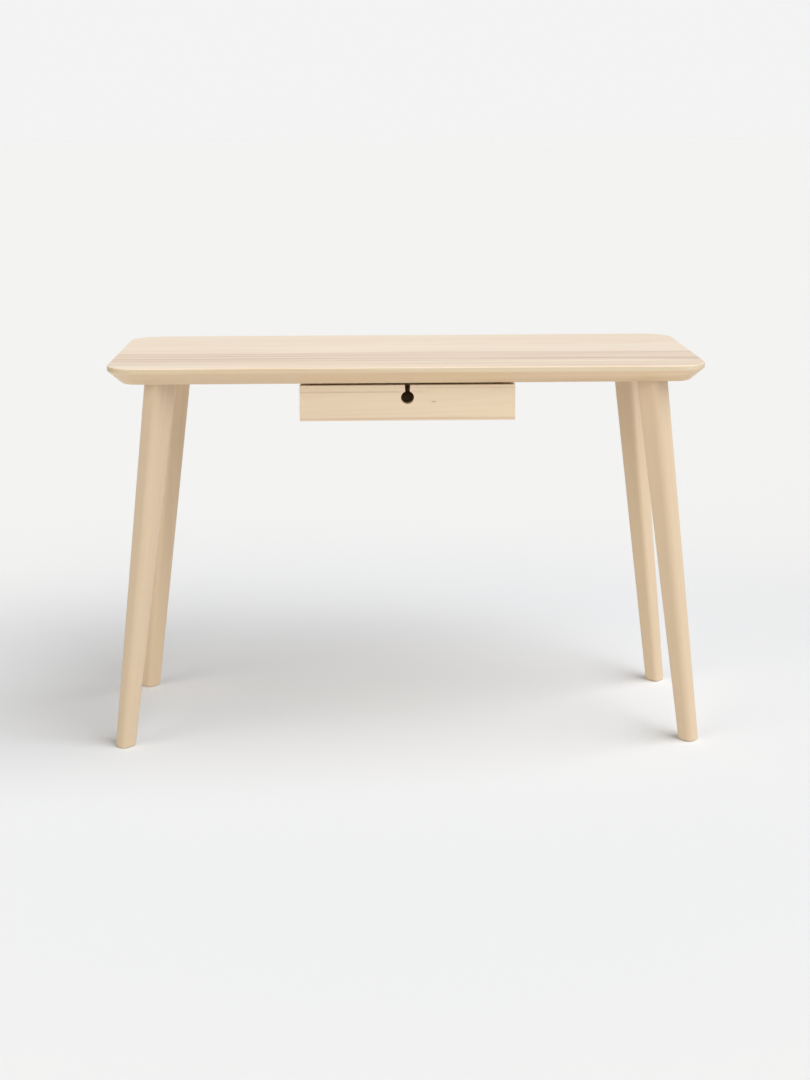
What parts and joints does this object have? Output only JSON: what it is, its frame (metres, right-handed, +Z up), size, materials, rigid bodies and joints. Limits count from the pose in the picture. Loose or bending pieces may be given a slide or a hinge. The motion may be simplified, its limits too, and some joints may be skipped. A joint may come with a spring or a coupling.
{
  "type": "desk",
  "caption": "Small pale wooden desk: bevelled top with rounded corners, tapered splayed legs, and one shallow drawer with a keyhole finger pull that slides out under the top.",
  "frame": {"origin": "on the floor, under the middle of the top", "axes": "+X along the desk to the right as a person sits at it, +Y from the drawer front to the back, +Z up"},
  "size_m": [1.13, 0.45, 0.74],
  "materials": {
    "top_wood": "satin lacquer on pale veneer",
    "leg_wood": "satin lacquer on solid pale wood",
    "front_wood": "satin lacquer on pale veneer",
    "box_wood": "thin matt lacquer",
    "runner_wood": "waxed hardwood",
    "dowel_wood": "bare turned wood",
    "zinc_steel": "zinc plated"
  },
  "bodies": {
    "frame": {"table_top": "top_wood", "leg_front_left": "leg_wood", "leg_front_right": "leg_wood", "leg_rear_left": "leg_wood", "leg_rear_right": "leg_wood", "leg_stud_front_left": "zinc_steel", "leg_stud_front_right": "zinc_steel", "leg_stud_rear_left": "zinc_steel", "leg_stud_rear_right": "zinc_steel", "leg_cam_front_left": "zinc_steel", "leg_cam_front_right": "zinc_steel", "leg_cam_rear_left": "zinc_steel", "leg_cam_rear_right": "zinc_steel", "leg_dowel_front_left_inner": "dowel_wood", "leg_dowel_front_left_outer": "dowel_wood", "leg_dowel_front_right_inner": "dowel_wood", "leg_dowel_front_right_outer": "dowel_wood", "leg_dowel_rear_left_inner": "dowel_wood", "leg_dowel_rear_left_outer": "dowel_wood", "leg_dowel_rear_right_inner": "dowel_wood", "leg_dowel_rear_right_outer": "dowel_wood", "runner_left": "runner_wood", "runner_right": "runner_wood", "runner_screw_left_front": "zinc_steel", "runner_screw_left_middle": "zinc_steel", "runner_screw_left_rear": "zinc_steel", "runner_screw_right_front": "zinc_steel", "runner_screw_right_middle": "zinc_steel", "runner_screw_right_rear": "zinc_steel", "drawer_stop": "runner_wood", "drawer_stop_screw": "zinc_steel"},
    "drawer": {"drawer_front": "front_wood", "drawer_side_left": "box_wood", "drawer_side_right": "box_wood", "drawer_back": "box_wood", "drawer_bottom": "box_wood", "drawer_dowel_left_lower": "dowel_wood", "drawer_dowel_left_upper": "dowel_wood", "drawer_dowel_right_lower": "dowel_wood", "drawer_dowel_right_upper": "dowel_wood", "drawer_screw_left_lower": "zinc_steel", "drawer_screw_left_upper": "zinc_steel", "drawer_screw_right_lower": "zinc_steel", "drawer_screw_right_upper": "zinc_steel"}
  },
  "joints": [
    {"name": "drawer_slide", "type": "slide", "parent": "frame", "child": "drawer", "axis": [0, -1, 0], "range_m": [0, 0.2]}
  ]
}
